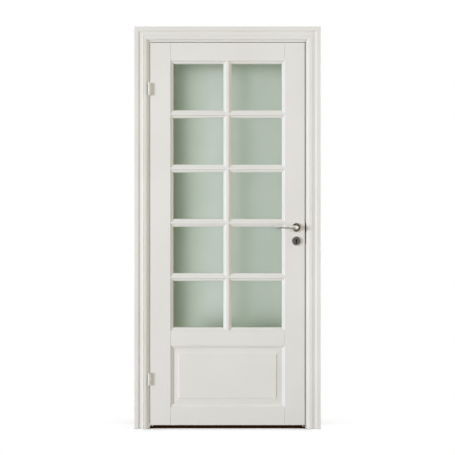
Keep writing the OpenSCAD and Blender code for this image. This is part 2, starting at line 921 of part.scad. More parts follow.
// Compression spring along +X
module coil_spring(length) {
    steps = 16 * spring_turns;
    points = [for (i = [0:steps]) each spring_ring(i / steps, length)];
    ring = [for (j = [0:7]) j];
    skin = [
        for (i = [0:steps - 1], j = ring)
            let (k = (j + 1) % 8)
                [8 * i + j, 8 * i + k, 8 * i + 8 + k, 8 * i + 8 + j]
    ];
    last = [for (j = ring) 8 * steps + 7 - j];
    polyhedron(points, concat([ring], skin, [last]));
}

module latch_spring() color(nickel) {
    start_x = case_x0 + sheet_t + spring_wire_r;
    end_x = latch_lug_x - latch_lug_w - spring_wire_r;
    translate([start_x, 0, latch_z0 + latch_h / 2]) coil_spring(end_x - start_x);
}

// Fixing plates under the rosettes
module rosette_bases() color(zinc)
    for (z = [handle_z, key_z])
        on_both_faces()
            difference() {
                translate([spindle_x, front_y, z]) rotate([90, 0, 0]) cylinder(r = base_r, h = base_h);
                handle_hole(lever_r + neck_room);
                keyhole(keyhole_r + key_room);
                base_screw_holes(base_screw_r + snug);
            }

// Screws through the leaf that pull the front and rear plates together
module rosette_screws() color(zinc)
    at_base_screws() {
        cylinder(r = base_screw_r, h = leaf_t + 2 * base_h, center = true);
        translate([0, 0, leaf_t / 2 + base_h]) cylinder(r = base_screw_head_r, h = base_screw_head_h);
    }

// Domed cap over a fixing plate, before its hole is cut
module rosette_cap(z) {
    r = rosette_d / 2;
    translate([spindle_x, front_y, z]) rotate([90, 0, 0])
        difference() {
            rotate_extrude() {
                square([r, rosette_h - rosette_edge_r]);
                square([r - rosette_edge_r, rosette_h]);
                translate([r - rosette_edge_r, rosette_h - rosette_edge_r])
                    intersection() {
                        circle(rosette_edge_r);
                        square(rosette_edge_r);
                    }
            }
            translate([0, 0, -over]) cylinder(r = r - rosette_wall, h = rosette_h - rosette_wall + over);
        }
}

module rosette() color(nickel)
    difference() {
        rosette_cap(handle_z);
        handle_hole(lever_r + loose);
    }

module escutcheon() color(nickel)
    difference() {
        rosette_cap(key_z);
        keyhole(keyhole_r);
    }

module front_rosette() rosette();
module rear_rosette() mirror([0, 1, 0]) rosette();
module front_escutcheon() escutcheon();
module rear_escutcheon() mirror([0, 1, 0]) escutcheon();

// Square bar on the spindle's axis
module spindle_bar(w, length) {
    translate([spindle_x, 0, handle_z]) cube([w, length, w], center = true);
}

// Grub screws in the necks of the levers
module grub_screws(play) {
    for (side = sides)
        translate([spindle_x, side * (leaf_t / 2 + grub_y), handle_z - spindle_w / 2 - grub_l])
            cylinder(r = grub_r + play, h = grub_l);
}

// Lever on the front: a neck, a bend, a shoulder and a slim grip with a round tip
module lever() color(nickel)
    difference() {
        translate([spindle_x, front_y, handle_z]) {
            translate([0, -neck_start, 0]) rotate([90, 0, 0])
                cylinder(r = lever_r, h = neck_l - neck_start);
            translate([-bend_r, -neck_l, 0]) rotate([0, 0, -90])
                rotate_extrude(angle = 90) translate([bend_r, 0]) circle(lever_r);
            translate([-bend_r, -neck_l - bend_r, 0]) rotate([0, -90, 0]) {
                cylinder(r1 = lever_r, r2 = lever_grip_r, h = shoulder_l);
                translate([0, 0, shoulder_l]) cylinder(r1 = lever_grip_r, r2 = lever_tip_r, h = grip_l);
                translate([0, 0, shoulder_l + grip_l]) sphere(lever_tip_r);
            }
        }
        spindle_bar(spindle_w + 2 * snug, leaf_t + 2 * spindle_depth + over);
        grub_screws(snug);
    }

module front_lever() lever();
module rear_lever() mirror([0, 1, 0]) lever();
module lever_grub_screws() color(zinc) grub_screws(0);
module spindle() color(zinc) spindle_bar(spindle_w, leaf_t + 2 * spindle_depth);

// Follower that the spindle turns, with the arm that draws the latch back
module follower() color(nickel)
    difference() {
        translate([spindle_x, 0, handle_z]) rotate([90, 0, 0]) {
            cylinder(r = follower_hub_r - snug, h = case_t, center = true);
            cylinder(r = follower_r, h = case_t - 2 * sheet_t - 2 * loose, center = true);
            translate([-arm_tip_r, 0, loose]) cube([2 * arm_tip_r, arm_l, latch_t / 2 - loose]);
            translate([0, arm_l, loose]) cylinder(r = arm_tip_r, h = latch_t / 2 - loose);
        }
        spindle_bar(spindle_w + 2 * snug, 2 * leaf_t);
    }

// Spring latch: a bevelled head, a flat tail over the follower and the lug that the arm pushes
module latch_bolt() color(nickel) {
    tip_x = edge_x + latch_out;
    lug_x0 = latch_lug_x - latch_lug_w;
    half_t = latch_t / 2;
    translate([0, 0, latch_z0])
        linear_extrude(latch_h)
            polygon([
                [latch_head_x, -half_t], [tip_x - latch_nose, -half_t], [tip_x, -half_t + latch_nose],
                [edge_x, half_t], [latch_head_x, half_t]
            ]);
    translate([lug_x0, loose, latch_z0 + latch_tail_inset])
        cube([latch_head_x - lug_x0 + over, latch_tail_t, latch_h - 2 * latch_tail_inset]);
    translate([lug_x0, -half_t, latch_z0 + latch_lug_lift])
        cube([latch_lug_w, half_t + loose + latch_tail_t, latch_h - latch_tail_inset - latch_lug_lift]);
}

// Dead bolt: a solid head and a thin tail, slotted for its guide and notched for the key
module dead_bolt() color(nickel) {
    tail_x = case_x0 + sheet_t + over;
    middle_z = bolt_z0 + bolt_h / 2;
    tail_z = middle_z - bolt_tail_drop;
    slot_r = bolt_stump_r + loose;
    slot_l = bolt_throw + loose;
    translate([bolt_head_x, -bolt_t / 2, bolt_z0])
        cube([edge_x - bolt_sunk - bolt_head_x, bolt_t, bolt_h]);
    difference() {
        translate([tail_x, -bolt_tail_t / 2, tail_z])
            cube([bolt_head_x - tail_x + over, bolt_tail_t, bolt_tail_h]);
        translate([bolt_stump_x - slot_l, 0, middle_z]) rotate([90, 0, 0])
            linear_extrude(2 * bolt_tail_t, center = true) {
                translate([0, -slot_r]) square([slot_l, 2 * slot_r]);
                for (x = [0, slot_l])
                    translate([x, 0]) circle(slot_r);
            }
        translate([key_notch_x, 0, tail_z]) rotate([90, 0, 0])
            cylinder(r = key_notch_r, h = 2 * bolt_tail_t, center = true);
    }
}

hinge_jamb();
lock_jamb();
head_jamb();
front_casing_left();
front_casing_right();
front_casing_head();
rear_casing_left();
rear_casing_right();
rear_casing_head();
frame_seal();
strike_plate();
frame_sleeves();
frame_screws();
upper_hinge_frame_part();
lower_hinge_frame_part();
hinge_pins();
hinge_stile();
lock_stile();
top_rail();
middle_rail();
bottom_rail();
rail_dowels();
upright_bar();
level_bar(1);  // level_bar_1
level_bar(2);  // level_bar_2
level_bar(3);  // level_bar_3
level_bar(4);  // level_bar_4
panel();
pane(1, -1);  // pane_1_left
pane(1, 1);  // pane_1_right
pane(2, -1);  // pane_2_left
pane(2, 1);  // pane_2_right
pane(3, -1);  // pane_3_left
pane(3, 1);  // pane_3_right
pane(4, -1);  // pane_4_left
pane(4, 1);  // pane_4_right
pane(5, -1);  // pane_5_left
pane(5, 1);  // pane_5_right
upright_beads();
level_beads();
upper_hinge_leaf_part();
lower_hinge_leaf_part();
leaf_screws();
lock_case();
lock_cover();
latch_spring();
rosette_bases();
rosette_screws();
front_rosette();
rear_rosette();
front_escutcheon();
rear_escutcheon();
front_lever();
rear_lever();
lever_grub_screws();
spindle();
follower();
latch_bolt();
dead_bolt();
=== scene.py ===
# %% [markdown]
# # A glazed interior door in its frame
#
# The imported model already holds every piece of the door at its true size: leaf, panes, frame, hinges
# and lock. This lesson gives those pieces their looks, from satin paint to frosted glass and brushed
# nickel, models the small metal pieces that need more than the CAD gives, and puts all of it under
# plain studio light.

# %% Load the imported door
import json
import math

import bmesh
import bpy
from mathutils import Matrix, Vector


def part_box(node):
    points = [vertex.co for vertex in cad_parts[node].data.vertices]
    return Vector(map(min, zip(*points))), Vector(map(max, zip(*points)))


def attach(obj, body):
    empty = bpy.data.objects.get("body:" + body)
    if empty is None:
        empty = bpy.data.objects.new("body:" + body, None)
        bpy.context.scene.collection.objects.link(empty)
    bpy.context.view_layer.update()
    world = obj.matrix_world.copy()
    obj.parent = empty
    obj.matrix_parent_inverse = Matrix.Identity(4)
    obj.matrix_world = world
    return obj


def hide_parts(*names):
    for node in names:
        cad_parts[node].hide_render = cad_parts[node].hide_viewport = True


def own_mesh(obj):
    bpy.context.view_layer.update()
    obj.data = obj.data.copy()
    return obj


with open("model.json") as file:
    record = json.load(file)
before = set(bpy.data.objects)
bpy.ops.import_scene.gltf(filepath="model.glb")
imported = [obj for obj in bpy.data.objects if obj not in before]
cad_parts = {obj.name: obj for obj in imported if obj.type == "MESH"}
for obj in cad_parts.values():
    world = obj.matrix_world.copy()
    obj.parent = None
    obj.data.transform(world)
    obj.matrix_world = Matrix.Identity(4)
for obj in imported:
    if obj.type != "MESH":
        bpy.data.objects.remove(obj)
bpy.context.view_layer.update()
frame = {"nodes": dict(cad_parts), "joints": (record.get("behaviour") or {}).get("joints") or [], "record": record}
nodes = frame["nodes"]

# %% [markdown]
# ## Camera
#
# The photograph looks straight at the door, so no upright line leans. A camera far away with a long
# lens does that, at the height where the picture's middle row meets the leaf. The lens follows from the
# width that the picture spans at the leaf's face.

# %% Camera at the photograph's place
EYE_DISTANCE = 5.0
EYE_HEIGHT = 1.0714
VIEW_WIDTH = 2.4265
QUARTER_TURN = math.pi / 2

leaf_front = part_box("hinge_stile")[0].y
bpy.ops.object.camera_add(location=(0, leaf_front - EYE_DISTANCE, EYE_HEIGHT), rotation=(QUARTER_TURN, 0, 0))
camera = bpy.context.object
camera.name = "photo_camera"
camera.data.lens = camera.data.sensor_width * EYE_DISTANCE / VIEW_WIDTH
bpy.context.scene.camera = camera
bpy.context.scene.view_settings.view_transform = "Standard"
print("camera lens", round(camera.data.lens, 1), "mm")

# %% [markdown]
# ## A small language for shaders
#
# A finish is easier to read as a formula than as a drawing of boxes and lines. `Wire` wraps one output
# socket and turns arithmetic on it into Math nodes. `Recipe` wraps a node tree, and its `node` method
# adds any other node from its type, its settings and what goes into its sockets. The short methods
# below it name the nodes that most finishes use.

# %% Wires
class Wire:
    """One output socket of a recipe. Arithmetic on it adds Math nodes."""

    def __init__(self, recipe, socket):
        self.recipe = recipe
        self.socket = socket

    def math(self, operation, first, second):
        return self.recipe.node("ShaderNodeMath", {"operation": operation}, {0: first, 1: second})

    def __add__(self, other):
        return self.math("ADD", self, other)

    def __radd__(self, other):
        return self.math("ADD", other, self)

    def __sub__(self, other):
        return self.math("SUBTRACT", self, other)

    def __rsub__(self, other):
        return self.math("SUBTRACT", other, self)

    def __mul__(self, other):
        return self.math("MULTIPLY", self, other)

    def __rmul__(self, other):
        return self.math("MULTIPLY", other, self)

    def __gt__(self, other):
        return self.math("GREATER_THAN", self, other)

    def __lt__(self, other):
        return self.math("LESS_THAN", self, other)

    def __or__(self, other):
        return self.math("MAXIMUM", self, other)

    def __abs__(self):
        return self.math("ABSOLUTE", self, 0.0)


print("wires ready")

# %% Recipes
PLAIN, EVEN, RICH, RICHEST = 1.0, 2.0, 3.0, 4.0  # the detail of a noise
MIX_SHARE, MIX_FIRST, MIX_SECOND, MIX_COLOUR = 0, 6, 7, 2  # a Mix node's sockets for colours


class Recipe:
    """A node tree and the one method that adds nodes to it."""

    def __init__(self, tree):
        self.tree = tree

    def node(self, kind, settings=None, sockets=None, out=0):
        made = self.tree.nodes.new(kind)
        for name, value in (settings or {}).items():
            setattr(made, name, value)
        for key, value in (sockets or {}).items():
            self.plug(made.inputs[key], value)
        return Wire(self, made.outputs[out])

    def plug(self, socket, value):
        if isinstance(value, Wire):
            self.tree.links.new(value.socket, socket)
        else:
            socket.default_value = value

    def place(self):
        return self.node("ShaderNodeTexCoord", out="Object")

    def along(self, axis):
        return self.node("ShaderNodeSeparateXYZ", sockets={0: self.place()}, out=axis)

    def stretched(self, scale):
        return self.node("ShaderNodeMapping", sockets={"Vector": self.place(), "Scale": scale})

    def noise(self, vector, scale=1.0, detail=EVEN):
        return self.node("ShaderNodeTexNoise", sockets={"Vector": vector, "Scale": scale, "Detail": detail})

    def ramp(self, value, low, high):
        sockets = {"Value": value, "From Min": low, "From Max": high}
        return self.node("ShaderNodeMapRange", {"interpolation_type": "SMOOTHSTEP"}, sockets)

    def blend(self, share, first, second):
        sockets = {MIX_SHARE: share, MIX_FIRST: first, MIX_SECOND: second}
        return self.node("ShaderNodeMix", {"data_type": "RGBA"}, sockets, out=MIX_COLOUR)

    def bump(self, height, distance):
        return self.node("ShaderNodeBump", sockets={"Height": height, "Distance": distance})


print("recipes ready")

# %% Materials and colours
def new_finish(name):
    """A fresh material, its recipe and its Principled shader."""
    material = bpy.data.materials.new(name)
    material.use_nodes = True
    return material, Recipe(material.node_tree), material.node_tree.nodes["Principled BSDF"]


def tone(red, green, blue):
    """A colour from the 0 to 255 values seen on a screen, by the standard curve between the two."""
    shares = [part / 255 for part in (red, green, blue)]
    return tuple(s / 12.92 if s <= 0.04045 else ((s + 0.055) / 1.055) ** 2.4 for s in shares) + (1.0,)


WHITE = (1.0, 1.0, 1.0, 1.0)
print("a middle grey is", [round(part, 3) for part in tone(128, 128, 128)])

# %% [markdown]
# ## Surround
#
# A studio's pale sides send soft light back from everywhere and fill the shade. Cards of light could
# stand all round, but the world's background does the same in one step. As a light it is slightly warm.
# To the camera, to metal and to glass it is plain white, through Light Path, so the background needs no
# extra light on the door.

# %% Surround
SURROUND = (1.0, 0.94, 0.82, 1.0)
SURROUND_LEVEL = 0.567
SHOWN_RAYS = ("Is Camera Ray", "Is Glossy Ray", "Is Transmission Ray")


def seen_directly(recipe):
    """1 for what the camera, a reflection or glass shows, 0 for light that is scattered on."""
    straight, mirrored, through_glass = [recipe.node("ShaderNodeLightPath", out=ray) for ray in SHOWN_RAYS]
    return straight | mirrored | through_glass


world = bpy.data.worlds.new("studio_surround")
bpy.context.scene.world = world
world.use_nodes = True
sky = Recipe(world.node_tree)
shown = seen_directly(sky)
backdrop = world.node_tree.nodes["Background"]
sky.plug(backdrop.inputs["Color"], sky.blend(shown, SURROUND, WHITE))
sky.plug(backdrop.inputs["Strength"], SURROUND_LEVEL + (1.0 - SURROUND_LEVEL) * shown)
print("surround at level", SURROUND_LEVEL)

# %% [markdown]
# ## Lamps
#
# One soft light comes from the far left. The hinge knuckles throw shadows more than twice as long as
# they stand out, which gives its angle. A sun lamp would light everything evenly, so this is a square
# lamp far away, narrowed towards the middle of the leaf, and a twin of it lights the back of the door.
# A strong warm reflector stands far to the right, almost level with the leaf, where it lights the
# flanks of the mouldings and hardly the faces.

# %% Lamps
LAMP_DISTANCE = 14.0
LAMP_ANGLE = math.radians(55)
LAMP_HEIGHT = 2.0
LAMP_COLOUR = (0.77, 0.865, 1.0)
LAMP_WATTS = 60.5
LAMP_SIZE = 4.0
LAMP_SPREAD = math.radians(30)
LAMP_AIM = Vector((-0.25, leaf_front, 1.1))
REAR_WATTS = 62.0
REFLECTOR_PLACE = Vector((6.0, -1.3, 0.9))
REFLECTOR_COLOUR = (1.0, 0.95, 0.86)
REFLECTOR_WATTS = 110.0
REFLECTOR_SPREAD = math.radians(180)


def soft_lamp(name, place, watts, colour, spread):
    """A square lamp aimed at the leaf, which lights it but makes no glints in the metal."""
    bpy.ops.object.light_add(type="AREA", location=place)
    lamp = bpy.context.object
    lamp.name = name
    lamp.data.size = LAMP_SIZE
    lamp.data.energy = watts
    lamp.data.color = colour
    lamp.data.spread = spread
    lamp.visible_glossy = lamp.visible_transmission = False
    lamp.rotation_euler = (LAMP_AIM - place).to_track_quat("-Z", "Y").to_euler()
    print(name, "at", [round(part, 2) for part in place])


lamp_reach = LAMP_DISTANCE * Vector((-math.sin(LAMP_ANGLE), -math.cos(LAMP_ANGLE), 0))
lamp_foot = Vector((0, leaf_front, LAMP_HEIGHT))
soft_lamp("window_lamp", lamp_foot + lamp_reach, LAMP_WATTS, LAMP_COLOUR, LAMP_SPREAD)
soft_lamp("rear_lamp", lamp_foot - lamp_reach, REAR_WATTS, LAMP_COLOUR, LAMP_SPREAD)
soft_lamp("reflector", REFLECTOR_PLACE, REFLECTOR_WATTS, REFLECTOR_COLOUR, REFLECTOR_SPREAD)

# %% [markdown]
# ## Floor
#
# The floor is plain and pale. To the camera it is as white as the surround, but for the shade in which
# the door stands. To scattered light it is a plain grey floor. A lamp's shadow would be lost on a floor
# that glows white, so Ambient Occlusion nodes find the shade. One darkens it close to what touches it.
# One, tilted to the front, darkens it under the closed leaf. Two, tilted to the sides, keep that dark
# away from the feet of the jambs when the leaf is open. The last reaches further, for the soft shade
# behind the frame and under the open leaf.

# %% Shade on the floor
FLOOR_TONE = (0.62, 0.60, 0.56, 1.0)
FLOOR_SHADE = (0.016, 0.006, 0.001, 1.0)
REAR_SHADE = tone(196, 193, 188)
SKY_SAMPLES = 16
CONTACT_REACH, DOORWAY_REACH, REAR_REACH = 0.012, 0.15, 0.3
TO_FRONT = {"Y": -0.8, "Z": 0.6}
TO_LEFT, TO_RIGHT = {"X": -0.8, "Z": 0.6}, {"X": 0.8, "Z": 0.6}
# Each pair is where a shade begins and ends, first as a share of the sky, then as a place in metres.
CONTACT_FADE, DOORWAY_FADE, ASIDE_FADE = (0.45, 0.9), (0.81, 0.985), (0.86, 0.98)
REAR_FADE, SWUNG_FADE = (0.5, 1.0), (0.35, 0.85)
DOORWAY_END, REAR_START = (0.055, 0.115), (0.05, 0.15)
SWUNG_START = (-0.6, -0.48)


def sky_seen(mix, reach, towards=None):
    """The share of the sky that nothing within reach hides, looking up or tilted to one side."""
    sockets = {"Distance": reach}
    if towards:
        sockets["Normal"] = mix.node("ShaderNodeCombineXYZ", sockets=towards)
    return mix.node("ShaderNodeAmbientOcclusion", {"samples": SKY_SAMPLES}, sockets, out="AO")


def floor_colour(mix):
    """White, but for the shade in which the door stands."""
    across, through = mix.along("X"), mix.along("Y")
    contact = sky_seen(mix, CONTACT_REACH)
    doorway = sky_seen(mix, DOORWAY_REACH, TO_FRONT)
    aside = sky_seen(mix, DOORWAY_REACH, TO_LEFT) | sky_seen(mix, DOORWAY_REACH, TO_RIGHT)
    above = sky_seen(mix, REAR_REACH)
    outside = (abs(across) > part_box("lock_jamb")[1].x) | mix.ramp(through, *DOORWAY_END)
    beside = outside | mix.ramp(aside, *ASIDE_FADE)
    openness = mix.ramp(contact, *CONTACT_FADE) * (mix.ramp(doorway, *DOORWAY_FADE) | beside)
    far_shade = mix.ramp(through, *REAR_START) * (1.0 - mix.ramp(above, *REAR_FADE))
    swung_shade = (1.0 - mix.ramp(across, *SWUNG_START)) * (1.0 - mix.ramp(above, *SWUNG_FADE))
    pale = mix.blend(far_shade | swung_shade, WHITE, REAR_SHADE)
    return mix.blend(openness, FLOOR_SHADE, pale)


print("shade reaches", CONTACT_REACH, DOORWAY_REACH, REAR_REACH, "m")

# %% Floor
FLOOR_SIZE = 7.0


def deselect_all():
    """Leave nothing selected, because an operator acts on all that is."""
    bpy.ops.object.select_all(action="DESELECT")


deselect_all()
bpy.ops.mesh.primitive_plane_add(size=FLOOR_SIZE)
floor = bpy.context.object
floor.name = "pale_floor"
floor_finish, floor_mix, unused_shader = new_finish("pale_floor")
floor_mix.tree.nodes.remove(unused_shader)
glow = floor_mix.node("ShaderNodeEmission", sockets={"Color": floor_colour(floor_mix)})
matt = floor_mix.node("ShaderNodeBsdfDiffuse", sockets={"Color": FLOOR_TONE})
both = floor_mix.node("ShaderNodeMixShader", sockets={0: seen_directly(floor_mix), 1: matt, 2: glow})
floor_mix.plug(floor_mix.tree.nodes["Material Output"].inputs["Surface"], both)
floor.data.materials.append(floor_finish)
print("floor", FLOOR_SIZE, "m square")

# %% [markdown]
# ## Flags
#
# Polished metal only looks like metal when it has something dark to mirror. A photographer stands dark
# cards about for that, called flags. One here stands behind the camera and one lies on the floor before
# the door, seen in reflections alone. Six more hang behind the leaf and are seen through the glass
# alone. They are painted shade: their colours darken the panes towards their edges, most of all on the
# hinge side. Darker glass would not do, because it would be as dark in the middle of a pane.

# %% Flags for metal and glass
DARK_ROOM = tone(34, 24, 8)
DARK_BOARDS = tone(26, 16, 4)
# Painted shade seen through the glass: these cards darken the panes towards their edges.
DEEP_PANE_SHADE = tone(86, 104, 50)
FAINT_PANE_SHADE = tone(236, 240, 229)
NARROW_PANE_SHADE = tone(188, 198, 180)
LOCK_SIDE_PANE_SHADE = tone(228, 232, 226)
RAYS = ("camera", "diffuse", "glossy", "transmission", "volume_scatter", "shadow")
# The name of each card, its shade, its lowest and highest corner in metres, and the ray that sees it.
CARDS = (
    ("dark_room_flag", DARK_ROOM, (-0.7, -7.0, -0.1), (5.5, -7.0, 4.4), "glossy"),
    ("dark_boards_flag", DARK_BOARDS, (-0.3, -1.6, 0.004), (0.8, -0.05, 0.004), "glossy"),
    ("dim_corner_flag", DEEP_PANE_SHADE, (-0.6, 0.2, -0.2), (-0.232, 0.2, 2.4), "transmission"),
    ("pane_shade_faint_flag", FAINT_PANE_SHADE, (-0.232, 0.21, -0.2), (-0.13, 0.21, 2.4), "transmission"),
    ("pane_shade_top_flag", DEEP_PANE_SHADE, (-0.232, 0.17, 1.957), (1.4, 0.17, 2.4), "transmission"),
    ("pane_shade_bottom_flag", DEEP_PANE_SHADE, (-0.232, 0.24, -0.2), (1.4, 0.24, 0.54), "transmission"),
    ("pane_shade_narrow_flag", NARROW_PANE_SHADE, (0.04, 0.18, 0.3), (0.12, 0.18, 2.2), "transmission"),
    ("pane_shade_lock_side_flag", LOCK_SIDE_PANE_SHADE, (0.03, 0.3, -0.2), (1.4, 0.3, 2.4), "transmission"),
)


def flag(name, shade, low, high, seen_by):
    """A flat card between two corners, upright or level, that only one kind of ray sees."""
    deselect_all()
    bpy.ops.mesh.primitive_plane_add(size=1)
    card = bpy.context.object
    card.name = name
    width, depth, height = [top - bottom for bottom, top in zip(low, high)]
    card.location = [(top + bottom) / 2 for bottom, top in zip(low, high)]
    if height > depth:
        card.rotation_euler.x = QUARTER_TURN
    card.scale = (width, max(depth, height), 1)
    material, mix, unused = new_finish(name)
    mix.tree.nodes.remove(unused)
    glow = mix.node("ShaderNodeEmission", sockets={"Color": shade})
    mix.plug(mix.tree.nodes["Material Output"].inputs["Surface"], glow)
    card.data.materials.append(material)
    for ray in RAYS:
        setattr(card, "visible_" + ray, ray == seen_by)
    return card


print("flags", [flag(*card).name for card in CARDS])

# %% [markdown]
# ## Painted wood
#
# The door is painted with satin white lacquer, sprayed over wood. Close up, the paint shows a fine
# orange peel, the grain shows faintly through it along each member, and its sheen is not quite even.
# One flat white would look like plastic, so noise at several scales gives all three. Grain runs up the
# stiles and jambs and along the rails, and the finish is mixed once for each direction.
#
# On the faces that are hidden in use the pine is left bare, which is a matter of place: the outside of
# the jambs, the back of the casings and the underside of the leaf. A narrow dark band is painted into the
# rebate on the lock side and mixed into the jamb's paint by its place, too. It is painted shade for the gap there.

# %% Where wood is bare and where the rebate's painted shade lies
SKIN = 0.0003
REBATE_SHADE_DEPTH = 0.016


def bare_on_leaf(mix):
    return mix.along("Z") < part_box("hinge_stile")[0].z + SKIN


def bare_on_jamb(mix):
    outside = abs(mix.along("X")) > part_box("lock_jamb")[1].x - SKIN
    return outside | (mix.along("Z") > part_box("head_jamb")[1].z - SKIN)


def bare_on_casing(mix):
    through = mix.along("Y")
    front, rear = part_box("front_casing_head")[1].y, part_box("rear_casing_head")[0].y
    return (through > front - SKIN) * (through < rear + SKIN)


# Painted shade: a dark band in the lock-side rebate, for the shade in the narrow gap beside the leaf.
def rebate_shade_on_jamb(mix):
    through = mix.along("Y")
    front, leaf_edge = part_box("lock_stile")[0].y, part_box("lock_stile")[1].x
    in_rebate = (through > front + SKIN) * (through < front + REBATE_SHADE_DEPTH)
    return in_rebate * (mix.along("X") > leaf_edge)


MEMBERS = {"leaf": (bare_on_leaf,), "jamb": (bare_on_jamb, rebate_shade_on_jamb), "casing": (bare_on_casing,)}
print("kinds of members", list(MEMBERS))

# %% Paint, mixed for each grain direction and each kind of member
PAINT, PAINT_SHADED = tone(236, 234, 230), tone(232, 229, 224)
# Painted shade for the narrow gap on the lock side, mixed into the jamb's paint in the rebate.
REBATE_SHADE_PAINT = tone(58, 53, 40)
BARE_PINE, BARE_PINE_GRAIN = tone(230, 208, 170), tone(206, 174, 128)
ACROSS_GRAIN, ALONG_GRAIN = 260.0, 9.0
CLOUD_SCALE, SHEEN_SCALE, PEEL_SCALE = 2.2, 35.0, 700.0
CLOUD_FADE, PATCH_FADE = (0.3, 0.7), (0.35, 0.65)
PAINT_ROUGH, SHEEN_ROUGH, PEEL_ROUGH, BARE_ROUGH = 0.36, 0.08, 0.04, 0.3
GRAIN_SHARE, PEEL_SHARE, PAINT_RELIEF = 0.6, 0.4, 0.00012
UPRIGHT, LEVEL = 2, 0


def grain_scale(along):
    return tuple(ALONG_GRAIN if axis == along else ACROSS_GRAIN for axis in range(3))


def painted_wood(name, along, bare_on, shade_on=None):
    material, mix, shader = new_finish(name)
    place = mix.place()
    bare = bare_on(mix)
    clouds = mix.ramp(mix.noise(place, CLOUD_SCALE, RICH), *CLOUD_FADE)
    grain = mix.noise(mix.stretched(grain_scale(along)), detail=RICH)
    peel = mix.noise(place, PEEL_SCALE, PLAIN)
    sheen = mix.noise(place, SHEEN_SCALE)
    paint = mix.blend(clouds, PAINT, PAINT_SHADED)
    # A dark band of painted shade, where the member has one.
    if shade_on:
        paint = mix.blend(shade_on(mix), paint, REBATE_SHADE_PAINT)
    pine = mix.blend(mix.ramp(grain, *PATCH_FADE), BARE_PINE, BARE_PINE_GRAIN)
    roughness = PAINT_ROUGH + SHEEN_ROUGH * sheen + PEEL_ROUGH * peel + BARE_ROUGH * bare
    mix.plug(shader.inputs["Base Color"], mix.blend(bare, paint, pine))
    mix.plug(shader.inputs["Roughness"], roughness)
    mix.plug(shader.inputs["Normal"], mix.bump(GRAIN_SHARE * grain + PEEL_SHARE * peel, PAINT_RELIEF))
    return material


paints = {(kind, along): painted_wood(f"paint_{kind}_{word}", along, *masks)
          for kind, masks in MEMBERS.items()
          for along, word in ((UPRIGHT, "upright"), (LEVEL, "level"))}
print("paints", [paint.name for paint in paints.values()])

# %% [markdown]
# ## Frosted glass
#
# One side of each pane is acid-etched. It scatters light, so nothing behind it has an outline, and the
# glass itself is slightly green. A flat grey-green would not follow the light behind the door, so the
# shader is rough and lets most light through, with a fine bump for the etching.

# %% Glass
GLASS, GLASS_THIN = tone(206, 215, 206), tone(202, 212, 203)
GLASS_CLOUD_SCALE, ETCHING_SCALE = 6.0, 1400.0
GLASS_ROUGH, ETCHING_ROUGH, ETCHING_RELIEF = 0.56, 0.08, 0.00005
GLASS_CONSTANTS = {"Transmission Weight": 0.93, "Specular IOR Level": 0.3, "IOR": 1.5}


def frosted_glass():
    material, mix, shader = new_finish("frosted_glass")
    clouds = mix.ramp(mix.noise(mix.place(), GLASS_CLOUD_SCALE), *PATCH_FADE)
    etching = mix.noise(mix.place(), ETCHING_SCALE)
    mix.plug(shader.inputs["Base Color"], mix.blend(clouds, GLASS, GLASS_THIN))
    mix.plug(shader.inputs["Roughness"], GLASS_ROUGH + ETCHING_ROUGH * etching)
    mix.plug(shader.inputs["Normal"], mix.bump(etching, ETCHING_RELIEF))
    for socket, value in GLASS_CONSTANTS.items():
        shader.inputs[socket].default_value = value
    return material


etched = frosted_glass()
print("glass", GLASS_CONSTANTS)

# %% [markdown]
# ## Metals
#
# Lever, rosettes and escutcheons are satin nickel, brushed in fine lines. Screws and spindle are
# zinc-plated steel, and the hinges have a pale lacquer over their plating, so they are less of a
# mirror. Latch, bolt and lock case are plain steel. The strike plate is browned steel, and its dark colour is
# partly painted shade for the gap at the latch. The sleeves and rims in the keyhole are black as painted
# shade for the dark inside the hole. Brush lines are a noise that is stretched along one axis. One recipe
# makes all six metals, because they only differ in colour, roughness and the direction of their lines.

# %% Brushed and plated metal
LINE_ROUGH, LINE_RELIEF = 0.16, 0.00004


def metal(name, light, dark, roughness, brush, patch_scale, metallic=1.0):
    """Metal with brush lines along the axis where `brush` is small, and paler and darker patches."""
    material, mix, shader = new_finish(name)
    lines = mix.noise(mix.stretched(brush), detail=RICHEST)
    patches = mix.ramp(mix.noise(mix.place(), patch_scale, RICH), *PATCH_FADE)
    mix.plug(shader.inputs["Base Color"], mix.blend(patches, light, dark))
    mix.plug(shader.inputs["Roughness"], roughness + LINE_ROUGH * lines)
    mix.plug(shader.inputs["Normal"], mix.bump(lines, LINE_RELIEF))
    shader.inputs["Metallic"].default_value = metallic
    return material


nickel = metal("satin_nickel", tone(237, 233, 225), tone(227, 221, 210),
               roughness=0.16, brush=(60.0, 2500.0, 2500.0), patch_scale=40.0)
plating = metal("zinc_plating", tone(226, 223, 216), tone(210, 207, 199),
                roughness=0.24, brush=(900.0, 900.0, 60.0), patch_scale=160.0)
hinge_coat = metal("hinge_coat", tone(248, 245, 240), tone(241, 238, 231),
                   roughness=0.22, brush=(900.0, 900.0, 60.0), patch_scale=160.0, metallic=0.5)
steel = metal("lock_steel", tone(132, 128, 120), tone(112, 108, 101),
              roughness=0.3, brush=(80.0, 1800.0, 1800.0), patch_scale=60.0)
# The strike plate's dark brown is partly its browned finish and partly painted shade for the gap at the latch.
browned_shade_steel = metal("browned_steel_partly_shade", tone(70, 66, 60), tone(56, 52, 47),
                roughness=0.42, brush=(900.0, 900.0, 80.0), patch_scale=90.0)
# Black as painted shade: the keyhole sleeves and rims stand in for the dark inside the keyhole.
keyhole_shade_black = metal("black_keyhole_shade", tone(40, 38, 36), tone(26, 25, 24),
                  roughness=0.5, brush=(900.0, 80.0, 900.0), patch_scale=300.0)
print("metals", [finish.name for finish in (nickel, plating, hinge_coat, steel, browned_shade_steel, keyhole_shade_black)])

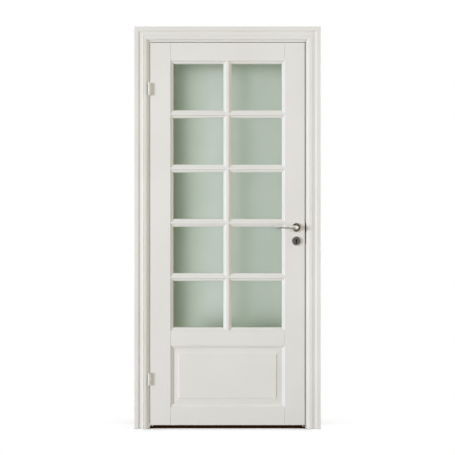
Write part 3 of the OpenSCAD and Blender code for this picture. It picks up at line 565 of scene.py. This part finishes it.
# %% [markdown]
# ## Rubber and beech
#
# The seal in the stops is soft grey rubber, matt with a fine bloom. The dowels in the joints are bare
# beech with its short dark flecks. Both are hardly seen, so one noise each is enough: even for the
# bloom, and stretched along the dowel for the flecks.

# %% Seal rubber and dowel beech
RUBBER, RUBBER_WORN = tone(108, 104, 97), tone(92, 88, 82)
BLOOM_SCALE, RUBBER_ROUGH, BLOOM_ROUGH, BLOOM_RELIEF = 300.0, 0.6, 0.15, 0.0001
BEECH, BEECH_FLECK = tone(214, 180, 134), tone(168, 122, 78)
FLECK_SCALE, FLECK_FADE = (60.0, 900.0, 900.0), (0.55, 0.7)
BEECH_ROUGH, FLECK_ROUGH = 0.55, 0.1


def seal_rubber():
    material, mix, shader = new_finish("seal_rubber")
    bloom = mix.noise(mix.place(), BLOOM_SCALE, RICH)
    mix.plug(shader.inputs["Base Color"], mix.blend(bloom, RUBBER, RUBBER_WORN))
    mix.plug(shader.inputs["Roughness"], RUBBER_ROUGH + BLOOM_ROUGH * bloom)
    mix.plug(shader.inputs["Normal"], mix.bump(bloom, BLOOM_RELIEF))
    return material


def dowel_beech():
    material, mix, shader = new_finish("dowel_beech")
    flecks = mix.ramp(mix.noise(mix.stretched(FLECK_SCALE)), *FLECK_FADE)
    mix.plug(shader.inputs["Base Color"], mix.blend(flecks, BEECH, BEECH_FLECK))
    mix.plug(shader.inputs["Roughness"], BEECH_ROUGH + FLECK_ROUGH * flecks)
    return material


rubber = seal_rubber()
beech = dowel_beech()
print("finishes", rubber.name, beech.name)

# %% [markdown]
# ## Dress the CAD pieces
#
# Each CAD piece keeps its mesh, which has the true shape already, and takes a finish in its material
# slot. A list of all names could say which, but the record's slot already says what a piece is made of,
# and for painted wood its longer side says which way the grain runs.

# %% Hand out the finishes
FINISH_OF_SLOT = {"frosted_glass": etched, "satin_nickel": nickel, "zinc_steel": plating, "lock_steel": steel,
                  "seal_rubber": rubber, "beech": beech}
slot_of = {part["node"]: part["material_slot"] for part in frame["record"]["subparts"]}


def finish_for(name):
    if "hinge_" in name and slot_of[name] == "zinc_steel":
        return hinge_coat
    # The strike plate takes the dark browned steel, partly painted shade.
    if name == "strike_plate":
        return browned_shade_steel
    if slot_of[name] in FINISH_OF_SLOT:
        return FINISH_OF_SLOT[slot_of[name]]
    low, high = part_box(name)
    upright = high.z - low.z > high.x - low.x or name == "upright_beads"
    kind = next((word for word in ("jamb", "casing") if word in name), "leaf")
    return paints[kind, UPRIGHT if upright else LEVEL]


for name, piece in nodes.items():
    for material_slot in piece.material_slots:
        material_slot.material = finish_for(name)
print("dressed", len(nodes), "pieces")

# %% [markdown]
# ## Modelling by hand
#
# The CAD gives screws, pins and sleeves as plain solids. Their real forms are small turned and pressed
# things. They could be written as lists of points, but a hand would start from a primitive, and
# extrude, scale, bevel and cut it. That is done here in millimetres round the origin, and the result is
# copied to its places in metres.

# %% Helpers for selecting and shaping
FACING = 0.9  # a face looks along an axis when its normal goes this far that way


def alone(piece):
    """Select one piece only and make it the active one."""
    deselect_all()
    piece.select_set(True)
    bpy.context.view_layer.objects.active = piece


def pick_faces(piece, wanted):
    """In edit mode, select the faces that pass a test on their middle and normal."""
    bpy.ops.mesh.select_mode(type="FACE")
    bpy.ops.mesh.select_all(action="DESELECT")
    shell = bmesh.from_edit_mesh(piece.data)
    for face in shell.faces:
        face.select_set(wanted(face.calc_center_median(), face.normal))
    bmesh.update_edit_mesh(piece.data)


def widen(share):
    """Scale what is selected about the Z axis."""
    bpy.ops.transform.resize(value=(share, share, 1), center_override=(0, 0, 0))


def push(x=0, y=0, z=0):
    """Extrude what is selected, straight along an axis."""
    bpy.ops.mesh.extrude_region_move(TRANSFORM_OT_translate={"value": (x, y, z)})


def combine(piece, other, operation):
    """Cut another shape out of a piece, or join the two, and drop the other one."""
    alone(piece)
    step = piece.modifiers.new("combine", "BOOLEAN")
    step.operation = operation
    step.object = other
    bpy.ops.object.modifier_apply(modifier=step.name)
    bpy.data.objects.remove(other)


print("faces are picked when their normal passes", FACING)

# %% Helpers for copying and handing in
MM = 0.001
SMOOTH_BELOW = math.radians(35)


def set_of_copies(master, name, places):
    """Copies of a piece at several places, each with its own mesh, joined to one set."""
    copies = []
    for place in places:
        copy = bpy.data.objects.new(name, master.data.copy())
        copy.matrix_world = place @ Matrix.Scale(MM, 4)
        bpy.context.collection.objects.link(copy)
        copies.append(copy)
    bpy.data.objects.remove(master)
    alone(copies[0])
    for copy in copies:
        copy.select_set(True)
    if len(copies) > 1:
        bpy.ops.object.join()
    bpy.ops.object.transform_apply(location=True, rotation=True, scale=True)
    return bpy.context.object


def hand_in(piece, finish, slot, body, *stands_for):
    alone(piece)
    bpy.ops.object.shade_smooth_by_angle(angle=SMOOTH_BELOW)
    piece.data.materials.clear()
    piece.data.materials.append(finish)
    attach(piece, body)
    if stands_for:
        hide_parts(*stands_for)
    print(piece.name, len(piece.data.polygons), "faces")


print("pieces are modelled in units of", MM, "m")

# %% [markdown]
# ## Screws
#
# Hinges, strike and face plate are held by countersunk wood screws with a cross recess, which shows
# when the leaf stands open. The head is a cone, its lower face is extruded to the shank and drawn in to
# a point, its rim is bevelled, and two tapered blades cut the recess. Cutting is quicker here than to
# extrude a cross out of a round face. Each screw ends at a different turn, as screws do.

# %% Countersunk screw
HEAD_R, HEAD_H, HEAD_EASE, SHANK_R = 3.7, 2.0, 0.25, 1.9
SCREW_LENGTH, POINT_LENGTH, POINT_SHARE = 24.5, 5.0, 0.15
SCREW_SIDES = 40
BLADE, BLADE_TAPER = (4.3, 1.0, 2.6), 0.5
EASE_STEPS = 2


def recess_blade(turn):
    deselect_all()
    bpy.ops.mesh.primitive_cube_add(size=1, scale=BLADE, rotation=(0, 0, turn))
    blade = bpy.context.object
    bpy.ops.object.transform_apply(rotation=True, scale=True)
    bpy.ops.object.mode_set(mode="EDIT")
    pick_faces(blade, lambda middle, normal: normal.z < -FACING)
    widen(BLADE_TAPER)
    bpy.ops.object.mode_set(mode="OBJECT")
    return blade


def wood_screw():
    deselect_all()
    bpy.ops.mesh.primitive_cone_add(vertices=SCREW_SIDES, radius1=SHANK_R, radius2=HEAD_R, depth=HEAD_H)
    screw = bpy.context.object
    bpy.ops.object.mode_set(mode="EDIT")
    bpy.ops.transform.translate(value=(0, 0, -HEAD_H / 2))
    pick_faces(screw, lambda middle, normal: normal.z < -FACING)
    push(z=HEAD_H + POINT_LENGTH - SCREW_LENGTH)
    push(z=-POINT_LENGTH)
    widen(POINT_SHARE)
    pick_faces(screw, lambda middle, normal: normal.z > FACING)
    bpy.ops.mesh.bevel(offset=HEAD_EASE, segments=EASE_STEPS, affect="EDGES")
    bpy.ops.object.mode_set(mode="OBJECT")
    for turn in (0, QUARTER_TURN):
        combine(screw, recess_blade(turn), "DIFFERENCE")
    return screw


print("screws of", SCREW_LENGTH, "mm")

# %% Screws in frame and leaf
HINGE_SCREW_OFFSET = 0.021
HINGE_SCREW_Y = -0.002
PLATE_SCREW_INSETS = (0.009, -0.009)
SINK = 0.00015
SCREW_TURN = 0.9


def screw_places(heads):
    """One matrix per head: its place, and the side along X that its face looks to."""
    for count, (x, y, z, side) in enumerate(heads):
        turn = Matrix.Rotation(SCREW_TURN * count, 4, "Z")
        lean = Matrix.Rotation(side * QUARTER_TURN, 4, "Y")
        yield Matrix.Translation((x - side * SINK, y, z)) @ lean @ turn


def plate_screw_heights(name):
    return [corner.z + inset for corner, inset in zip(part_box(name), PLATE_SCREW_INSETS)]


hinge_heights = [sum(corner.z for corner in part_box(name)) / 2 for name in
                 ("lower_hinge_leaf_part", "upper_hinge_leaf_part")]
hinge_screw_heights = [z + side * HINGE_SCREW_OFFSET for z in hinge_heights for side in (-1, 1)]
rebate_x, leaf_edge_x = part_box("strike_plate")[0].x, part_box("lock_stile")[1].x
frame_heads = [(-rebate_x, HINGE_SCREW_Y, z, 1) for z in hinge_screw_heights]
frame_heads += [(rebate_x, 0, z, -1) for z in plate_screw_heights("strike_plate")]
leaf_heads = [(-leaf_edge_x, HINGE_SCREW_Y, z, -1) for z in hinge_screw_heights]
leaf_heads += [(leaf_edge_x, 0, z, 1) for z in plate_screw_heights("lock_case")]
hand_in(set_of_copies(wood_screw(), "cross_screws_frame", screw_places(frame_heads)),
        plating, "zinc_steel", "frame", "frame_screws")
hand_in(set_of_copies(wood_screw(), "cross_screws_leaf", screw_places(leaf_heads)),
        plating, "zinc_steel", "leaf", "leaf_screws")

# %% [markdown]
# ## Hinge pins
#
# Each hinge turns on a loose pin with a domed button at both ends. An outline could be spun, as on a
# lathe, but a cylinder for the shank saves drawing it. Each end face is extruded on the spot and
# widened to the button's foot, extruded again, and bevelled in five steps to the dome.

# %% Domed hinge pins
PIN_R, BUTTON_R, BUTTON_H, DOME = 3.5, 5.3, 1.6, 1.3
PIN_SIDES, DOME_STEPS = 48, 5


def hinge_pin(length):
    deselect_all()
    bpy.ops.mesh.primitive_cylinder_add(vertices=PIN_SIDES, radius=PIN_R, depth=length)
    pin = bpy.context.object
    bpy.ops.object.mode_set(mode="EDIT")
    for end in (-1, 1):
        pick_faces(pin, lambda middle, normal: normal.z * end > FACING)
        push()
        widen(BUTTON_R / PIN_R)
        push(z=end * BUTTON_H)
        bpy.ops.mesh.bevel(offset=DOME, segments=DOME_STEPS, affect="EDGES")
    bpy.ops.object.mode_set(mode="OBJECT")
    return pin


pins_low, pins_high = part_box("hinge_pins")
pin_middle = (pins_low + pins_high) / 2
pin_length = 2 * (hinge_heights[0] - pins_low.z) / MM - 2 * BUTTON_H
pin_places = [Matrix.Translation((pin_middle.x, pin_middle.y, z)) for z in hinge_heights]
hand_in(set_of_copies(hinge_pin(pin_length), "domed_hinge_pins", pin_places),
        hinge_coat, "zinc_steel", "frame", "hinge_pins")

# %% [markdown]
# ## Grub screws
#
# A grub screw under each lever's neck holds it on the spindle. It is a short cylinder with bevelled
# ends. The socket for the key could be inset, but that would have as many corners as the cylinder, so a
# six-sided prism cuts it into the lower end.

# %% Socket grub screws under the levers
GRUB_R, GRUB_EASE, SOCKET_R, SOCKET_DEPTH = 2.45, 0.35, 1.45, 2.8
GRUB_SIDES, SOCKET_SIDES = 32, 6


def grub_screw(length):
    deselect_all()
    bpy.ops.mesh.primitive_cylinder_add(vertices=GRUB_SIDES, radius=GRUB_R, depth=length)
    grub = bpy.context.object
    bpy.ops.object.mode_set(mode="EDIT")
    pick_faces(grub, lambda middle, normal: abs(normal.z) > FACING)
    bpy.ops.mesh.bevel(offset=GRUB_EASE, segments=EASE_STEPS, affect="EDGES")
    bpy.ops.object.mode_set(mode="OBJECT")
    deselect_all()
    bpy.ops.mesh.primitive_cylinder_add(vertices=SOCKET_SIDES, radius=SOCKET_R, depth=2 * SOCKET_DEPTH,
                                        location=(0, 0, -length / 2))
    combine(grub, bpy.context.object, "DIFFERENCE")
    return grub


grub_low, grub_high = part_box("lever_grub_screws")
grub_middle = (grub_low + grub_high) / 2
grub_reach = grub_high.y - (grub_high.x - grub_low.x) / 2
grub_places = [Matrix.Translation((grub_middle.x, side * grub_reach, grub_middle.z)) for side in (-1, 1)]
hand_in(set_of_copies(grub_screw((grub_high.z - grub_low.z) / MM), "socket_grub_screws", grub_places),
        plating, "zinc_steel", "handle", "lever_grub_screws")

# %% [markdown]
# ## Key sleeves
#
# Between the escutcheon and the lock, a sleeve guides the key through the stile. It is black as painted
# shade, for the dark deep inside a keyhole. No primitive has its outline, a round hole over a slot, so a
# cylinder and a block are united to it, and a smaller pair cuts it hollow, up to the thin dust shutter at
# its inner end. A flat black rim of the same outline edges the hole on each escutcheon, painted shade at
# the mouth of the hole.

# %% Outline of the keyhole
KEY_ROUND_R, KEY_SLOT_W, KEY_SLOT_LOW = 4.45, 5.3, -19.3
KEY_SIDES = 48
KEY_ROUND_ABOVE = 0.005


def keyhole_prism(grow, depth, shift=0):
    """The keyhole's outline, grown all round and extruded along Y, round hole's middle at the origin."""
    deselect_all()
    bpy.ops.mesh.primitive_cylinder_add(vertices=KEY_SIDES, radius=KEY_ROUND_R + grow, depth=depth,
                                        rotation=(QUARTER_TURN, 0, 0))
    prism = bpy.context.object
    bpy.ops.object.transform_apply(rotation=True)
    width, low = KEY_SLOT_W + 2 * grow, KEY_SLOT_LOW - grow
    deselect_all()
    bpy.ops.mesh.primitive_cube_add(size=1, location=(0, 0, low / 2), scale=(width, depth, -low))
    combine(prism, bpy.context.object, "UNION")
    alone(prism)
    bpy.ops.transform.translate(value=(0, shift, 0))
    bpy.ops.object.transform_apply(location=True)
    return prism


plate_low, plate_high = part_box("front_escutcheon")
key_middle = (plate_low + plate_high) / 2


def on_both_sides(reach):
    """One matrix for the front and one, turned about, for the rear."""
    return [Matrix.Translation((key_middle.x, side * reach, key_middle.z + KEY_ROUND_ABOVE)) @
            Matrix.Rotation(turn, 4, "Z") for side, turn in ((-1, 0), (1, math.pi))]


print("keyhole at", [round(part, 3) for part in key_middle])

# %% Key sleeves and rims, black as painted shade
SLEEVE_WALL = 0.45
SLEEVE_OUT, SLEEVE_IN = 23.5, 7.6
SHUTTER = 0.8
RIM_OUT, RIM_IN, RIM_T = 0.55, -0.2, 0.3
RIM_CUT = 3 * RIM_T

# The sleeves and rims are black as painted shade for the dark inside the keyhole.
sleeve_depth = SLEEVE_OUT - SLEEVE_IN
key_sleeve = keyhole_prism(SLEEVE_WALL, sleeve_depth)
combine(key_sleeve, keyhole_prism(0, sleeve_depth, -SHUTTER), "DIFFERENCE")
sleeve_places = on_both_sides((SLEEVE_OUT + SLEEVE_IN) / 2 * MM)
hand_in(set_of_copies(key_sleeve, "key_sleeves", sleeve_places), keyhole_shade_black, "lock_steel", "leaf")
keyhole_shade_rim = keyhole_prism(RIM_OUT, RIM_T)
combine(keyhole_shade_rim, keyhole_prism(RIM_IN, RIM_CUT), "DIFFERENCE")
shade_rim_places = on_both_sides(RIM_T / 2 * MM - plate_low.y)
hand_in(set_of_copies(keyhole_shade_rim, "keyhole_shade_rims", shade_rim_places), keyhole_shade_black, "lock_steel", "leaf")

# %% [markdown]
# ## Latch spring
#
# A coil spring inside the lock pushes the latch out, and the lever squeezes it. A curve with a round
# bevel could follow a helix, but a ring of wire, wound round the X axis by the Screw modifier, is a
# mesh from the start, and its two ends only have to be closed.

# %% Coil spring behind the latch
WIRE_R, WIRE_SIDES = 0.45, 10
COIL_TURNS, COIL_STEPS = 7, 20


def coil(radius, length):
    deselect_all()
    bpy.ops.mesh.primitive_circle_add(vertices=WIRE_SIDES, radius=WIRE_R, location=(0, radius, 0))
    wire = bpy.context.object
    bpy.ops.object.transform_apply(location=True)
    wind = wire.modifiers.new("wind", "SCREW")
    wind.axis = "X"
    wind.iterations = COIL_TURNS
    wind.screw_offset = length / COIL_TURNS
    wind.steps = wind.render_steps = COIL_STEPS
    bpy.ops.object.modifier_apply(modifier=wind.name)
    bpy.ops.object.mode_set(mode="EDIT")
    bpy.ops.mesh.select_all(action="SELECT")
    bpy.ops.mesh.fill_holes(sides=0)
    bpy.ops.mesh.normals_make_consistent(inside=False)
    bpy.ops.object.mode_set(mode="OBJECT")
    return wire


spring_low, spring_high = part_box("latch_spring")
spring_middle = (spring_low + spring_high) / 2
spring_length = spring_high.x - spring_low.x
latch_travel = next(joint["range_m"][1] for joint in frame["joints"] if joint["name"] == "latch_slide")
coil_r = (spring_high.z - spring_low.z) / 2 / MM - WIRE_R
coil_place = Matrix.Translation((spring_low.x + WIRE_R * MM, spring_middle.y, spring_middle.z))
latch_coil = set_of_copies(coil(coil_r, spring_length / MM - 2 * WIRE_R), "latch_coil", [coil_place])
hand_in(latch_coil, steel, "lock_steel", "leaf", "latch_spring")
1 - latch_travel / spring_length
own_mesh(latch_coil)

# %% [markdown]
# ## Strike lip
#
# The strike plate's front edge is folded round the edge of the jamb, and at the height of the latch it
# runs on over the jamb as a lip, so that the latch slides in without marking the paint. A thin strip is
# bisected at the lip's ends and bent round the edge by extruding its end faces again and again, each
# time turned a little about the edge, which keeps its thickness all the way round. The lip's own end
# face is then extruded further, and the outline is bevelled.

# %% Lip over the edge of the lock jamb
LIP_H, LIP_T, LIP_FLAT, LIP_OVER = 42.0, 0.6, 7.0, 2.6
LIP_EASE = LIP_T / 4
EDGE_LOW, EDGE_HIGH, EDGE_OVER = -84.5, 30.0, 1.1
LIP_STEPS = 8
LIP_HUG = 1.5
LIP_ABOVE_GRUB = 0.004


def on_lip_end(middle, normal):
    return normal.x > FACING and middle.x > LIP_HUG and abs(middle.z) < LIP_H / 2


def strike_lip():
    """A strip along Y that turns to +X round its near end, with its back against the jamb."""
    deselect_all()
    bpy.ops.mesh.primitive_cube_add(size=1, scale=(LIP_T, LIP_FLAT, EDGE_HIGH - EDGE_LOW),
                                    location=(-LIP_T / 2, LIP_FLAT / 2, (EDGE_HIGH + EDGE_LOW) / 2))
    lip = bpy.context.object
    bpy.ops.object.transform_apply(location=True, scale=True)
    bpy.ops.object.mode_set(mode="EDIT")
    for height in (-LIP_H / 2, LIP_H / 2):
        bpy.ops.mesh.select_all(action="SELECT")
        bpy.ops.mesh.bisect(plane_co=(0, 0, height), plane_no=(0, 0, 1))
    pick_faces(lip, lambda middle, normal: normal.y < -FACING)
    for step in range(LIP_STEPS):
        push()
        bpy.ops.transform.rotate(value=-QUARTER_TURN / LIP_STEPS, orient_axis="Z",
                                 center_override=(LIP_HUG, 0, 0))
    push(x=EDGE_OVER)
    pick_faces(lip, on_lip_end)
    push(x=LIP_OVER - EDGE_OVER)
    bpy.ops.mesh.select_all(action="SELECT")
    bpy.ops.mesh.normals_make_consistent(inside=False)
    bpy.ops.object.mode_set(mode="OBJECT")
    ease = lip.modifiers.new("ease", "BEVEL")
    ease.width = LIP_EASE
    ease.segments = EASE_STEPS
    ease.limit_method = "ANGLE"
    bpy.ops.object.modifier_apply(modifier=ease.name)
    return lip


# The lip takes the same dark browned steel, partly painted shade for the gap at the latch.
lip_place = Matrix.Translation((rebate_x, leaf_front + LIP_HUG * MM, grub_middle.z + LIP_ABOVE_GRUB))
hand_in(set_of_copies(strike_lip(), "strike_lip", [lip_place]), browned_shade_steel, "lock_steel", "frame")
